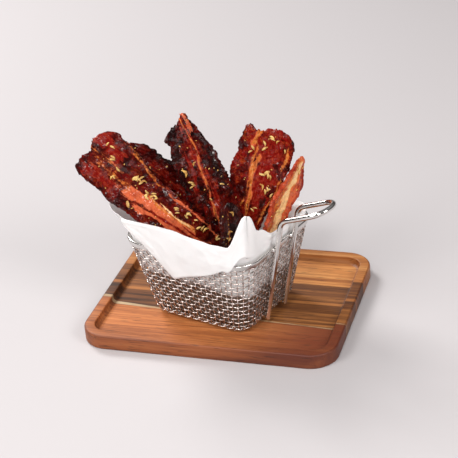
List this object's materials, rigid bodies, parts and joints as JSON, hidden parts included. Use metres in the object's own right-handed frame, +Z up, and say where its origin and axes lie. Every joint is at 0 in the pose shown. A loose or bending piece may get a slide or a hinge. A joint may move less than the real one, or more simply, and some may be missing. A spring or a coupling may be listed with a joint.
{
  "type": "cooked bacon strips",
  "caption": "Glazed cooked bacon strips standing in a paper-lined wire fry basket with a loop handle, on a shallow wooden tray.",
  "frame": {"origin": "centre of the tray's underside, which is the bottom centre of the whole part's box", "axes": "+Z up, X along the tray's long side, -Y towards the front edge of the tray; the basket's handle points to +X and a little to -Y"},
  "size_m": [0.2, 0.155, 0.1709],
  "materials": {
    "wood": "oiled acacia, satin",
    "mesh_steel": "woven stainless wire",
    "rim_steel": "polished flat band",
    "handle_steel": "polished round wire",
    "paper": "matt white food paper",
    "bacon": "glazed dark red cooked meat with amber fat and charred edges"
  },
  "bodies": {
    "root": {"tray": "wood", "basket_mesh": "mesh_steel", "basket_rim": "rim_steel", "basket_handle": "handle_steel", "paper_liner": "paper", "strip_left_front": "bacon", "strip_left_back": "bacon", "strip_middle": "bacon", "strip_right": "bacon", "strip_right_edge": "bacon", "strip_front_short": "bacon"}
  },
  "joints": []
}
